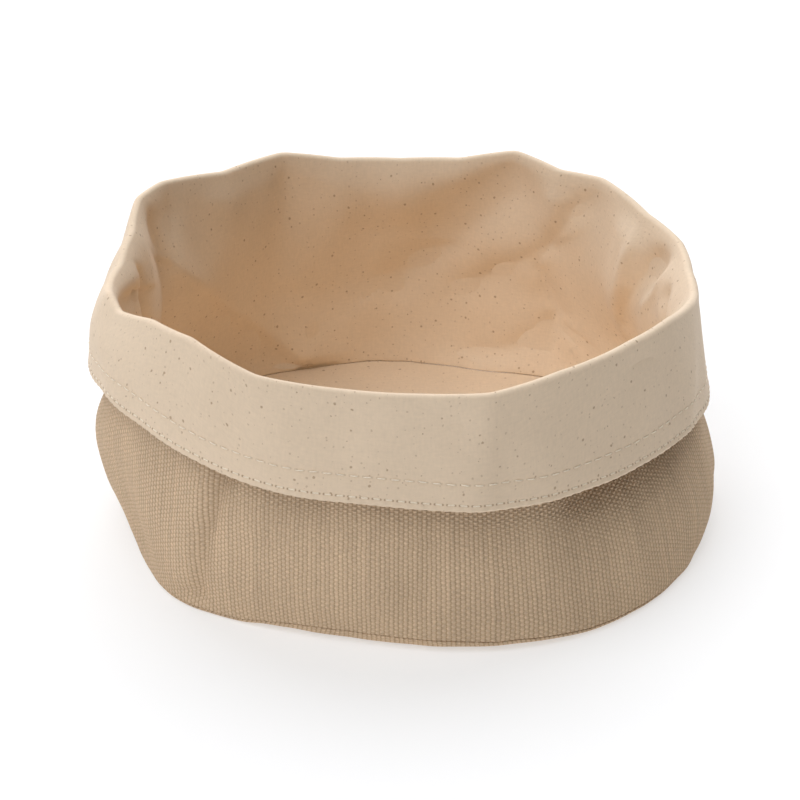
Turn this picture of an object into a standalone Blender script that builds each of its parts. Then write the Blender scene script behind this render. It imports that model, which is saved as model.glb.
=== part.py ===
"""Bread bag of two cloths, standing open with its top turned down outside as a cuff.

The maker cuts four pieces: a canvas wall and a canvas base, and a lining wall and a
lining base of thin cotton. Each wall is a band sewn into a tube, and each base is a
round sewn to its lower edge. The two bags sit one in the other and fold over together,
so the cuff shows the lining, whose hem is turned up behind the canvas edge.

Everything follows one surface that runs between the two cloths: out along the base,
up the wall, over the rim and down the cuff to the hem. It is worked out round the bag
from the short tables below. The lining lies on one side of it and the canvas on the
other. Bearings are in degrees, anticlockwise seen from above, from +X; the front is
270. Radii are from the Z axis, heights are above the floor, and both are in
millimetres until the surface is put in space.
"""

import bmesh
import bpy
import numpy as np

MM = 0.001

# The two cloths
CANVAS_THICKNESS = 1.2
LINING_THICKNESS = 1.0
LAYER_GAP = 0.4
SEAM_GAP = 0.5
CANVAS_COLOUR = (0.42, 0.32, 0.21, 1)
LINING_COLOUR = (0.70, 0.58, 0.43, 1)

# The hem: the lining turned up behind the canvas edge
HEM_TURN_UP = 14.0
HEM_SLACK = 0.6
HEM_BEND_STEPS = 4

# The base: a flat round whose edge turns up to the seam with the wall
BASE_EDGE_BEND = 4.5

# On each side of the seam the cloths run straight for this length
SEAM_STRAIGHT = 0.8

# How finely each stretch of the surface is stepped. WALL_STEPS are from the seam to the
# belly, to the neck, to the collar and to the rim.
AROUND = 72
BASE_STEPS = 3
WALL_STEPS = (3, 2, 2, 2)
RIM_STEPS = 5
CUFF_STEPS = 3
HEM_STEPS = 2

# Between two rows of a table the values change evenly, and its corners are rounded
# off over this many degrees
RIM_ROUNDING = 2.0
CLOTH_ROUNDING = 4.0
TABLE_STEP = 0.5

# Points closer together than this are one point, in metres
SAME_POINT = 1e-6

# Where the wall is sewn to the base, and how far the wall spreads there
SEAM = (
    # bearing, radius, height, spread
    (10, 112, 4.6, 0.3),
    (30, 111.5, 4.6, 0.3),
    (58, 110.5, 4.6, 0.3),
    (69, 103.5, 4.6, 0.3),
    (81, 105.5, 4.6, 0.3),
    (94, 109, 4.6, 0.3),
    (106, 107, 4.6, 0.3),
    (122, 110, 4.6, 0.3),
    (145, 107, 4.6, 0.3),
    (165, 103, 4.6, 0.3),
    (185, 100.5, 4.6, 0.3),
    (200, 101, 4.6, 0.2),
    (212, 105, 4.6, 0.1),
    (226, 110.5, 4.6, 0.1),
    (238, 107, 5, 0.2),
    (252, 105.5, 5.6, 0.2),
    (265, 107, 5.6, 0.2),
    (278, 112, 4.8, 0.2),
    (291, 116.5, 4.4, 0.2),
    (304, 118, 4.4, 0.2),
    (320, 117, 4.6, 0.2),
    (335, 115, 4.6, 0.3),
    (350, 113, 4.6, 0.3),
)

# Where the wall stands out furthest, below the cuff
BELLY = (
    # bearing, radius, height
    (0, 115.5, 17),
    (20, 112, 20),
    (40, 110, 26),
    (66, 110.5, 30),
    (90, 110, 28),
    (115, 111, 28),
    (135, 109, 26),
    (155, 106, 24),
    (170, 107, 28),
    (187, 110.4, 38),
    (200, 109.5, 40),
    (215, 108, 36),
    (232, 110.5, 30),
    (245, 107.5, 30),
    (265, 108, 30),
    (282, 112, 28),
    (295, 113.5, 26),
    (310, 115, 20),
    (325, 115.5, 17),
    (345, 116, 17),
)

# The narrow part behind the cuff
NECK = (
    # bearing, radius, height
    (0, 100.5, 58),
    (12, 96.5, 56),
    (22, 95, 54),
    (34, 98, 56),
    (45, 103, 58),
    (66, 105.5, 60),
    (90, 104.5, 60),
    (115, 105.5, 60),
    (135, 101, 60),
    (148, 97.5, 60),
    (158, 95, 60),
    (172, 94.5, 62),
    (185, 98, 64),
    (196, 102, 68),
    (210, 104.5, 68),
    (232, 106, 66),
    (255, 104.5, 62),
    (286, 106, 60),
    (315, 104.5, 58),
    (335, 104, 58),
    (350, 102.5, 60),
)

# The band below the rim that leans outwards: how far inside the crest and below it
# the band starts, and how far from upright it leans
COLLAR = (
    # bearing, inset, drop, lean
    (0, 9, 15, 38),
    (16, 6, 10, 40),
    (32, 6, 13, 25),
    (45, 4, 9, 20),
    (55, 5, 12, 22),
    (66, 3, 8, 15),
    (90, 6, 14, 28),
    (115, 3, 8, 15),
    (130, 4.5, 11, 22),
    (146, 4, 9, 20),
    (155, 6, 11, 35),
    (172, 8, 14, 42),
    (186, 7.5, 12, 40),
    (196, 5, 10, 25),
    (205, 3.5, 12, 12),
    (260, 3.5, 12, 10),
    (320, 3.5, 12, 10),
    (338, 4, 12, 18),
    (350, 8, 14, 35),
)

# The crest of the rim, the radius that the cloths bend to there, and how far from
# straight down the cuff sets off
RIM = (
    # bearing, radius, height, bend, lean
    (4, 104.5, 87, 3.5, 0),
    (15.8, 107, 88.8, 2, 5),
    (29, 105.5, 90.6, 3, 8),
    (45, 109.5, 94, 2.2, 8),
    (54.5, 106.5, 93.5, 3, 8),
    (65.7, 109.5, 96.4, 2, 8),
    (77, 105.5, 92, 3.5, 12),
    (90, 104.5, 91.2, 3.5, 12),
    (103, 105.5, 92, 3.5, 12),
    (115, 109, 96, 2, 8),
    (130, 106, 95, 3, 12),
    (146, 108.5, 99.4, 2, 10),
    (154.8, 107.5, 99.4, 2, 15),
    (166, 101, 95, 3, 30),
    (178, 100.5, 91.5, 3.5, 40),
    (188, 104, 91.5, 3.5, 38),
    (196.5, 105.5, 95.5, 2.5, 30),
    (203, 105.5, 93.5, 3, 20),
    (215.6, 103.5, 99.2, 2.5, 15),
    (228, 104, 100.5, 2.5, 12),
    (243.7, 107, 95.8, 2.2, 8),
    (260, 104.5, 94.1, 2.8, 10),
    (274, 105, 93.3, 2.8, 10),
    (285.7, 108, 93.2, 2.2, 8),
    (300, 105, 94.7, 3, 10),
    (318, 104.5, 95.9, 3, 10),
    (330, 105.5, 95.9, 3, 10),
    (342, 105.5, 92.2, 3.2, 4),
    (353, 105, 87.5, 3.5, 0),
)

# The lower edge of the cuff, and how far the cuff stands out between rim and hem
HEM = (
    # bearing, radius, height, belly
    (15, 111, 51, 1),
    (45, 113, 55, 1.5),
    (90, 113, 56, 1),
    (135, 113, 58, 1.5),
    (165, 112, 60, 2),
    (187, 111, 61, 3),
    (205, 112, 66.5, 2.5),
    (219, 112.5, 66.5, 2),
    (234, 113, 63.5, 1.5),
    (249, 113.5, 60, 0.5),
    (267, 112.5, 59, 0),
    (283, 114.5, 56, 0.5),
    (298, 113, 54.2, 0.5),
    (315, 113, 55, 0.5),
    (332, 113, 55, 0.5),
    (353, 111, 48.5, 0),
)

# Soft creases of the wall, pressed outwards, or inwards where the depth is negative.
# They fade out over this height at the seam and at the rim.
CREASE_FADE = 9.0
CREASES = (
    # start bearing, start height, end bearing, end height, half width, depth
    # Below the two peaks of the back rim, and the left peak
    (66, 92, 92, 36, 9, 2.5),
    (115, 92, 118, 40, 9, 1.5),
    (155, 96, 152, 45, 8, 2.5),
    # Below the right peak, with a hollow beside it
    (15.8, 84, 27, 46, 8, 2.5),
    (33, 88, 33, 42, 6, -1.5),
    (54, 78, 62, 50, 9, -2.5),
    # Outside: the left front corner, the tuck at the lower left, and the dent under
    # the right of the cuff
    (232, 60, 228, 8, 8, 2),
    (204, 28, 210, 8, 12, -2.5),
    (298, 44, 328, 46, 9, -3.5),
)


def ring(rows, rounding):
    """The columns after the bearing, at each step round the bag."""
    rows = np.array(rows, float)
    at = np.arange(0, 360, TABLE_STEP)
    away = np.minimum(at, 360 - at)
    weight = np.exp(-0.5 * (away / rounding) ** 2)
    smooth = np.fft.fft(weight / weight.sum())
    steps = 360 * np.arange(AROUND) / AROUND
    columns = []
    for values in rows[:, 1:].T:
        exact = np.interp(at, rows[:, 0], values, period=360)
        rounded = np.fft.ifft(np.fft.fft(exact) * smooth).real
        columns.append(np.interp(steps, at, rounded, period=360))
    return columns


def unit(vector):
    return vector / np.linalg.norm(vector, axis=-1, keepdims=True)


def curve(start, start_way, end, end_way, steps):
    """Points along the smooth cubic from start towards end, which is left out."""
    share = (np.arange(steps) / steps)[None, :, None]
    reach = np.linalg.norm(end - start, axis=-1)[:, None, None]
    a, b = start[:, None], end[:, None]
    way_a, way_b = start_way[:, None] * reach, end_way[:, None] * reach
    return (
        a * (2 * share**3 - 3 * share**2 + 1)
        + way_a * (share**3 - 2 * share**2 + share)
        + b * (3 * share**2 - 2 * share**3)
        + way_b * (share**3 - share**2)
    )


def curve_through(knots, ways, steps):
    """The cubics that join the knots in turn, without the last knot."""
    parts = [
        curve(knots[i], ways[i], knots[i + 1], ways[i + 1], steps[i])
        for i in range(len(knots) - 1)
    ]
    return np.concatenate(parts, axis=1)


def seam_line():
    """The seam of wall and base, and the way the cloth runs up through it."""
    seam_radius, seam_height, spread = ring(SEAM, CLOTH_ROUNDING)
    seam = np.stack([seam_radius, seam_height], axis=-1)
    belly = np.stack(ring(BELLY, CLOTH_ROUNDING), axis=-1)
    outwards = np.array([1.0, 0.0])
    return seam, unit(unit(belly - seam) + spread[:, None] * outwards)


def rim_fold():
    """The points of the fold over the rim, and the ways the cloth runs onto it and
    leaves it. It turns from the collar's lean to the cuff's."""
    rim_radius, rim_height, bend, cuff_lean = ring(RIM, RIM_ROUNDING)
    collar_lean = ring(COLLAR, RIM_ROUNDING)[2]
    start = np.radians(180 - collar_lean)[:, None]
    stop = np.radians(cuff_lean)[:, None]
    turn = start + (stop - start) * np.linspace(0, 1, RIM_STEPS + 1)
    middle = np.stack([rim_radius, rim_height - bend], axis=-1)
    off_middle = np.stack([np.cos(turn), np.sin(turn)], axis=-1)
    onto_fold = np.concatenate([np.sin(start), -np.cos(start)], axis=-1)
    off_fold = np.concatenate([np.sin(stop), -np.cos(stop)], axis=-1)
    return middle[:, None] + bend[:, None, None] * off_middle, onto_fold, off_fold


def wall_section(seam, up_seam, fold_start, onto_fold):
    """From the seam up to the rim's fold, which is left out."""
    belly = np.stack(ring(BELLY, CLOTH_ROUNDING), axis=-1)
    neck = np.stack(ring(NECK, CLOTH_ROUNDING), axis=-1)
    rim_radius, rim_height = ring(RIM, RIM_ROUNDING)[:2]
    inset, drop = ring(COLLAR, RIM_ROUNDING)[:2]
    collar = np.stack([rim_radius - inset, rim_height - drop], axis=-1)
    knots = [seam + up_seam * SEAM_STRAIGHT, belly, neck, collar, fold_start]
    onto_neck = unit(collar - belly)
    onto_collar = unit(fold_start - neck)
    ways = [up_seam, unit(neck - seam), onto_neck, onto_collar, onto_fold]
    wall = curve_through(knots, ways, WALL_STEPS)
    return creased(np.concatenate([seam[:, None], wall], axis=1))


def creased(wall):
    """The wall with CREASES pressed into it, each fading to its sides and its ends and
    dying out at the seam and the rim."""
    bearings = 360 * np.arange(AROUND)[:, None] / AROUND
    radius, height = wall[..., 0], wall[..., 1]
    off_seam = (height - height[:, :1] - SEAM_STRAIGHT) / CREASE_FADE
    off_rim = (height[:, -1:] - height) / CREASE_FADE
    hold = np.clip(off_seam, 0, 1) * np.clip(off_rim, 0, 1)
    push = np.zeros(radius.shape)
    for bearing, low, far_bearing, high, half_width, depth in CREASES:
        way = np.array([np.radians(far_bearing - bearing) * radius.mean(), high - low])
        length = np.linalg.norm(way)
        across = np.radians((bearings - bearing + 180) % 360 - 180) * radius
        along = (across * way[0] + (height - low) * way[1]) / length
        aside = (across * way[1] - (height - low) * way[0]) / length
        beyond = np.maximum(np.maximum(-along, along - length), 0)
        push += depth * hold * np.exp(-(aside**2 + beyond**2) / half_width**2)
    return np.stack([radius + push, height], axis=-1)


def cuff_section(fold_end, off_fold):
    """From the end of the rim's fold down to the hem."""
    hem_radius, hem_height, cuff_belly = ring(HEM, CLOTH_ROUNDING)
    hem = np.stack([hem_radius, hem_height], axis=-1)
    drop = unit(hem - fold_end)
    outwards = np.stack([-drop[:, 1], drop[:, 0]], axis=-1)
    waist = (fold_end + hem) / 2 + outwards * cuff_belly[:, None]
    down = unit(hem - waist)
    knots = [fold_end, hem - down * HEM_TURN_UP, hem]
    cuff = curve_through(knots, [off_fold, down, down], (CUFF_STEPS, HEM_STEPS))
    return np.concatenate([cuff, hem[:, None]], axis=1)


def base_section(seam, up_seam):
    """From the flat of the base out to its edge, just short of the seam."""
    floor = np.full(AROUND, CANVAS_THICKNESS + LAYER_GAP / 2)
    flat = np.stack([seam[:, 0] - BASE_EDGE_BEND, floor], axis=-1)
    outwards = np.broadcast_to([1.0, 0.0], flat.shape)
    edge = seam - up_seam * SEAM_GAP
    bend_end = edge - up_seam * SEAM_STRAIGHT
    bend = curve(flat, outwards, bend_end, up_seam, BASE_STEPS)
    inner = flat - outwards * BASE_EDGE_BEND
    ends = np.stack([bend_end, edge], axis=1)
    return np.concatenate([inner[:, None], bend, ends], axis=1)


def sections():
    """The surface between the cloths, as a radius and a height for each step round
    the bag and each step along the cloth: first the base's edge, then the wall."""
    seam, up_seam = seam_line()
    fold, onto_fold, off_fold = rim_fold()
    wall = wall_section(seam, up_seam, fold[:, 0], onto_fold)
    cuff = cuff_section(fold[:, -1], off_fold)
    return base_section(seam, up_seam), np.concatenate([wall, fold[:, :-1], cuff], axis=1)


def in_space(section):
    """Section points turned to their bearings, in metres."""
    bearing = 2 * np.pi * np.arange(AROUND)[:, None] / AROUND
    radius, height = section[..., 0], section[..., 1]
    return np.stack([radius * np.cos(bearing), radius * np.sin(bearing), height], -1) * MM


def frame_of(points):
    """At each point, the way along the cloth towards the hem, and the way across it to
    the lining's side: up on the base, inwards on the wall, outwards on the cuff."""
    step = unit(np.diff(points, axis=1))
    turns = step[:, :-1] + step[:, 1:]
    along = unit(np.concatenate([step[:, :1], turns, step[:, -1:]], axis=1))
    around = np.roll(points, -1, axis=0) - np.roll(points, 1, axis=0)
    return along, unit(np.cross(along, around))


def lining_points(points):
    """The lining's face that lies against the canvas."""
    return points + frame_of(points)[1] * LAYER_GAP / 2 * MM


def canvas_points(points):
    """The canvas face that lies against the lining."""
    return points - frame_of(points)[1] * LAYER_GAP / 2 * MM


def hemmed_lining_points(points):
    """The lining's face that lies against the canvas: up the wall, down the cuff,
    round the canvas edge in a half circle and up behind it."""
    along, across = frame_of(points)
    near = LAYER_GAP / 2 * MM
    behind = (LAYER_GAP / 2 + CANVAS_THICKNESS + HEM_SLACK) * MM
    bend = (near + behind) / 2
    turn = (np.pi * np.arange(1, HEM_BEND_STEPS) / HEM_BEND_STEPS)[None, :, None]
    hem, hem_along, hem_across = points[:, -1:], along[:, -1:], across[:, -1:]
    hook = hem + hem_along * bend * np.sin(turn)
    hook = hook + hem_across * (near - bend + bend * np.cos(turn))
    turned = (points - across * behind)[:, -1 : -HEM_STEPS - 2 : -1]
    return np.concatenate([lining_points(points), hook, turned], axis=1)


def cloth_material(name, colour, roughness):
    material = bpy.data.materials.new(name)
    material.use_nodes = True
    shader = material.node_tree.nodes["Principled BSDF"]
    shader.inputs["Base Color"].default_value = colour
    shader.inputs["Roughness"].default_value = roughness
    shader.inputs["Metallic"].default_value = 0
    return material


def fill_middle(mesh):
    """Closes the flat lower end of a round with one face, and turns the faces down."""
    ends = [edge for edge in mesh.edges if edge.is_boundary]
    halfway = sum(edge.verts[0].co.z for edge in ends) / len(ends)
    lower = [edge for edge in ends if edge.verts[0].co.z < halfway]
    made = bmesh.ops.contextual_create(mesh, geom=lower)
    bmesh.ops.recalc_face_normals(mesh, faces=mesh.faces)
    if made["faces"][0].normal.z > 0:
        bmesh.ops.reverse_faces(mesh, faces=mesh.faces)


def cloth_sheet(name, points, thickness, side, material, collection, is_round=False):
    """A sheet of cloth laid on the grid of points, which closes round the bag. Its
    thickness grows to the lining's side where side is 1, and away from it where -1.
    The grid's own faces look away from the lining's side."""
    around, along = points.shape[:2]
    mesh = bmesh.new()
    bmesh.ops.create_grid(mesh, x_segments=around, y_segments=along - 1, size=1)
    for vertex in mesh.verts:
        i = round((vertex.co.x + 1) / 2 * around) % around
        j = round((vertex.co.y + 1) / 2 * (along - 1))
        vertex.co = points[i, j]
    bmesh.ops.remove_doubles(mesh, verts=mesh.verts, dist=SAME_POINT)
    bmesh.ops.triangulate(mesh, faces=mesh.faces, quad_method="FIXED")
    if is_round:
        fill_middle(mesh)
    data = bpy.data.meshes.new(name)
    mesh.to_mesh(data)
    mesh.free()
    data.shade_smooth()
    data.materials.append(material)
    sheet = bpy.data.objects.new(name, data)
    collection.objects.link(sheet)
    solidify = sheet.modifiers.new("Thickness", "SOLIDIFY")
    solidify.thickness = thickness * MM
    solidify.offset = -side
    solidify.use_even_offset = True
    solidify.use_quality_normals = True
    return sheet


def main():
    for old in list(bpy.data.objects):
        bpy.data.objects.remove(old)
    bag = bpy.data.collections.new("Bread bag")
    bpy.context.scene.collection.children.link(bag)
    canvas = cloth_material("Canvas", CANVAS_COLOUR, 0.9)
    cotton = cloth_material("Lining cotton", LINING_COLOUR, 0.85)
    base, wall = (in_space(section) for section in sections())
    cloth_sheet("canvas_wall", canvas_points(wall), CANVAS_THICKNESS, -1, canvas, bag)
    cloth_sheet("lining_wall", hemmed_lining_points(wall), LINING_THICKNESS, 1, cotton, bag)
    cloth_sheet("canvas_base", canvas_points(base), CANVAS_THICKNESS, -1, canvas, bag, True)
    cloth_sheet("lining_base", lining_points(base), LINING_THICKNESS, 1, cotton, bag, True)


main()
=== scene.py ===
"""The looks of an open bread bag: heavy canvas outside, unbleached calico inside and on
the turned-down cuff, sewn with cotton thread.

The CAD model is the fixed frame. Its four cloths are replaced here by thin sheets on the
same folds, worked out again from nearly the same short tables at a finer step, with the
folds and puckers that the solids leave out. Bearings are in degrees, anticlockwise seen
from above, from +X; the front is 270. The tables are in millimetres, and a surface is
turned to metres when it is put in space.
"""

import math

import bpy
import numpy as np
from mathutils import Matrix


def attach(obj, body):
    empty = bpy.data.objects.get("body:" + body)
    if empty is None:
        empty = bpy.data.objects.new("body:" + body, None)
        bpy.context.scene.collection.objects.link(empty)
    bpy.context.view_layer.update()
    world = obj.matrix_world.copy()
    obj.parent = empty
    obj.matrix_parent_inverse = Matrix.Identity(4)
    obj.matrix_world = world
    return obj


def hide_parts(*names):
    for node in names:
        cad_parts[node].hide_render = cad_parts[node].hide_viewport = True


bl_info = {
    "name": "Bread Bag",
    "version": (1, 0, 0),
    "blender": (4, 5, 0),
    "location": "3D View > Sidebar > Bread Bag",
    "description": "Builds an open bread bag of canvas and calico with a turned-down cuff",
    "category": "Add Mesh",
}

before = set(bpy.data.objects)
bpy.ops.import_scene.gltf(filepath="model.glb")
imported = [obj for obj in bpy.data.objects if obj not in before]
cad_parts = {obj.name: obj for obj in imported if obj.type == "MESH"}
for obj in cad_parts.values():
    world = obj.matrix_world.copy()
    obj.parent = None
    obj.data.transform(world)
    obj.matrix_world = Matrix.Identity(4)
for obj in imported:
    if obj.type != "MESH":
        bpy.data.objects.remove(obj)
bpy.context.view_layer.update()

MM = 0.001
BODY = "root"

# The cloths, thinner than the solids. From the surface between them, the canvas starts
# at LAYER_GAP on one side, and the calico's face that shows is at CALICO_FACE on the
# other. Each base ends at a gap from the seam.
CANVAS_THICKNESS = 0.9
CALICO_THICKNESS = 0.45
LAYER_GAP = 0.2
CALICO_FACE = 0.6
CANVAS_SEAM_GAP = 0.05
CALICO_SEAM_GAP = 0.12

# The hem: the calico turned up behind the canvas edge, this clear of it
HEM_TURN_UP = 14.0
HEM_SLACK = 0.1
HEM_BEND_STEPS = 8

# A dash of thread is this share of the way from one stitch to the next, and in the rest
# the cloth puffs up. Along each row the thread pulls the cloth in.
DASH_SHARE = 0.64
ROW_PULL = 0.35
ROW_WIDTH = 0.9
PUFF = 0.28
# Dashes differ in length by these shares, and in place and slant by this much of a row of
# the cloth. As shares of half its width, a dash arches this high and is this thick at
# its ends and from front to back. The twist's pattern moves on by these millimetres from
# ring to ring and from side to side.
DASH_LENGTHS = (0.9, 1.04)
DASH_STRAY = 0.07
DASH_SLANT = 0.1
DASH_ARCH = 1.2
DASH_ENDS = 0.55
DASH_DEPTH = 0.8
TWIST_STEPS = (0.6, 0.3)

# The base: a flat round whose edge bends up to the seam with the wall. The bend's way at
# the seam counts this much, so that the bend doesn't dip below the flat.
BASE_EDGE_BEND = 4.5
BASE_SEAM_WAY = 0.2
SEAM_STRAIGHT = 0.4

# A band's pattern starts at its side seam, taken to be at this bearing, and goes this far
SIDE_SEAM = 170.0
GIRTH = 704.0

# Unevenness of the seam, the wall, its folds and the cuff: the usual size of its swells
# round the bag and upright, their depth, and the seed of their random draw
SEAM_SWELLS = (14, 40, 0.12, 7)
WALL_SWELLS = (26, 30, 0.4, 5)
FOLD_SWELLS = (13, 15, 0.07, 6)
CUFF_SWELLS = (30, 40, 0.3, 8)

# How finely each stretch of the surface is stepped. WALL_STEPS are from the seam to the
# belly, to the neck, to the collar and to the rim. A face that is out of sight keeps one
# row in HIDDEN_STRIDE, and the turned-up hem one in TURNED_STRIDE.
AROUND = 704
BASE_STEPS = 8
BASE_RINGS = 14
EDGE_STEPS = 4
WALL_STEPS = (12, 21, 17, 9)
RIM_STEPS = 8
CUFF_STEPS = 8
HEM_STEPS = 20
HIDDEN_STRIDE = 8
TURNED_STRIDE = 5
STITCH_RINGS = 7
STITCH_SIDES = 8

# A cloth is rounded off over this distance to its sewn edge, down to this share of its
# thickness
CANVAS_EDGE_ROUNDING = 0.25
CALICO_EDGE_ROUNDING = 0.6
THINNEST = 0.2

# The rim is pressed crisper than the solids' rim: this bend, plus this share of theirs.
# The rim stands THINNER higher and the hem as much further out, for the thinner cloths.
CRISP_BEND = 0.9
CRISP_SHARE = 0.15
THINNER = 0.6
# The least room that the wall's folds have behind the cuff's canvas, and how fast the
# room grows below the hem
LEAST_ROOM = 0.4
ROOM_BELOW_HEM = 2

# Between two rows of a table the values change evenly, and the corners are rounded off
# over these degrees, on a circle of small steps
RIM_ROUNDING = 0.8
CLOTH_ROUNDING = 4.0
TABLE_STEP = 0.5

# Where the wall is sewn to the base, and how far the wall spreads there. The solids keep
# the seam a little higher at the sides and back, for the thickness of their cloths.
SEAM = (
    # bearing, radius, height, spread
    (10, 112, 2, 0.3),
    (30, 111.5, 2, 0.3),
    (58, 110.5, 2, 0.3),
    (69, 103.5, 2, 0.3),
    (81, 105.5, 2, 0.3),
    (94, 109, 2, 0.3),
    (106, 107, 2, 0.3),
    (122, 110, 2, 0.3),
    (145, 107, 2, 0.3),
    (165, 103, 2, 0.3),
    (185, 100.5, 2, 0.3),
    (200, 101, 2, 0.2),
    (212, 105, 2, 0.1),
    (226, 110.5, 2, 0.1),
    (238, 107, 2, 0.2),
    (252, 105.5, 5.6, 0.2),
    (265, 107, 5.6, 0.2),
    (278, 112, 4.8, 0.2),
    (291, 116.5, 4.4, 0.2),
    (304, 118, 2, 0.2),
    (320, 117, 2, 0.2),
    (335, 115, 2, 0.3),
    (350, 113, 2, 0.3),
)

# Where the wall stands out furthest, below the cuff
BELLY = (
    # bearing, radius, height
    (0, 115.5, 17),
    (20, 112, 20),
    (40, 110, 26),
    (66, 110.5, 30),
    (90, 110, 28),
    (115, 111, 28),
    (135, 109, 26),
    (155, 106, 24),
    (170, 107, 28),
    (187, 110.4, 38),
    (200, 109.5, 40),
    (215, 108, 36),
    (232, 110.5, 30),
    (245, 107.5, 30),
    (265, 108, 30),
    (282, 112, 28),
    (295, 113.5, 26),
    (310, 115, 20),
    (325, 115.5, 17),
    (345, 116, 17),
)

# The narrow part behind the cuff
NECK = (
    # bearing, radius, height
    (0, 100.5, 58),
    (12, 96.5, 56),
    (22, 95, 54),
    (34, 98, 56),
    (45, 103, 58),
    (66, 105.5, 60),
    (90, 104.5, 60),
    (115, 105.5, 60),
    (135, 101, 60),
    (148, 97.5, 60),
    (158, 95, 60),
    (172, 94.5, 62),
    (185, 98, 64),
    (196, 102, 68),
    (210, 104.5, 68),
    (232, 106, 66),
    (255, 104.5, 62),
    (286, 106, 60),
    (315, 104.5, 58),
    (335, 104, 58),
    (350, 102.5, 60),
)

# The band below the rim that leans outwards: how far inside the crest and below it
# the band starts, and how far from upright it leans
COLLAR = (
    # bearing, inset, drop, lean
    (0, 9, 15, 38),
    (16, 6, 10, 40),
    (32, 6, 13, 25),
    (45, 4, 9, 20),
    (55, 5, 12, 22),
    (66, 3, 8, 15),
    (90, 6, 14, 28),
    (115, 3, 8, 15),
    (130, 4.5, 11, 22),
    (146, 4, 9, 20),
    (155, 6, 11, 35),
    (172, 8, 14, 42),
    (186, 7.5, 12, 40),
    (196, 5, 10, 25),
    (205, 3.5, 12, 12),
    (260, 3.5, 12, 10),
    (320, 3.5, 12, 10),
    (338, 4, 12, 18),
    (350, 8, 14, 35),
)

# The crest of the rim, the radius that the cloths bend to there, and how far from
# straight down the cuff sets off
RIM = (
    # bearing, radius, height, bend, lean
    (4, 104.5, 87, 3.5, 0),
    (15.8, 107, 88.8, 2, 5),
    (29, 105.5, 90.6, 3, 8),
    (45, 109.5, 94, 2.2, 8),
    (54.5, 106.5, 93.5, 3, 8),
    (65.7, 109.5, 96.4, 2, 8),
    (77, 105.5, 92, 3.5, 12),
    (90, 104.5, 91.2, 3.5, 12),
    (103, 105.5, 92, 3.5, 12),
    (115, 109, 96, 2, 8),
    (130, 106, 95, 3, 12),
    (146, 108.5, 99.4, 2, 10),
    (154.8, 107.5, 99.4, 2, 15),
    (166, 101, 95, 3, 30),
    (178, 100.5, 91.5, 3.5, 40),
    (188, 104, 91.5, 3.5, 38),
    (196.5, 105.5, 95.5, 2.5, 30),
    (203, 105.5, 93.5, 3, 20),
    (215.6, 103.5, 99.2, 2.5, 15),
    (228, 104, 100.5, 2.5, 12),
    (243.7, 107, 95.8, 2.2, 8),
    (260, 104.5, 94.1, 2.8, 10),
    (274, 105, 93.3, 2.8, 10),
    (285.7, 108, 93.2, 2.2, 8),
    (300, 105, 94.7, 3, 10),
    (318, 104.5, 95.9, 3, 10),
    (330, 105.5, 95.9, 3, 10),
    (342, 105.5, 92.2, 3.2, 4),
    (353, 105, 87.5, 3.5, 0),
)

# The lower edge of the cuff, and how far the cuff stands out between rim and hem
HEM = (
    # bearing, radius, height, belly
    (15, 111, 51, 1),
    (45, 113, 55, 1.5),
    (90, 113, 56, 1),
    (135, 113, 58, 1.5),
    (165, 112, 60, 2),
    (187, 111, 61, 3),
    (205, 112, 66.5, 2.5),
    (219, 112.5, 66.5, 2),
    (234, 113, 63.5, 1.5),
    (249, 113.5, 60, 0.5),
    (267, 112.5, 59, 0),
    (283, 114.5, 56, 0.5),
    (298, 113, 54.2, 0.5),
    (315, 113, 55, 0.5),
    (332, 113, 55, 0.5),
    (353, 111, 48.5, 0),
)

# Creases of the wall, pressed outwards, or inwards where a depth is negative. Left and
# right are those of someone who walks along the crease on the outside of the wall, and
# the depth changes evenly from its start to its end. They fade out over this height at
# the seam and at the rim. These are soft, and most of them are the solids' own.
CREASE_FADE = 9.0
CREASES = (
    # points along it as (bearing, height), left width, right width, start and end depth
    # Below the two peaks of the back rim, and the left peak
    (((66, 92), (92, 36)), 9, 9, 2.5, 2.5),
    (((115, 92), (118, 40)), 9, 9, 1.5, 1.5),
    (((155, 96), (152, 45)), 8, 8, 2.5, 2.5),
    # Below the right peak, with a hollow beside it
    (((15.8, 84), (27, 46)), 8, 8, 2.5, 2.5),
    (((33, 88), (33, 42)), 6, 6, -1.5, -1.5),
    (((54, 78), (62, 50)), 9, 9, -2.5, -2.5),
    # Outside: the left front corner, the tuck at the lower left, and the dent under
    # the right of the cuff
    (((232, 60), (228, 8)), 8, 8, 2, 2),
    (((204, 28), (210, 8)), 12, 12, -2.5, -2.5),
    (((304, 50), (332, 52)), 9, 9, -4, -3.5),
    # The hollow near the right end of the inside, and the one behind the rim's fold
    (((5, 76), (1, 67)), 5, 5, 3.5, 3.5),
    (((190, 86), (180, 70)), 7, 7, 2, 2),
)

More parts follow.
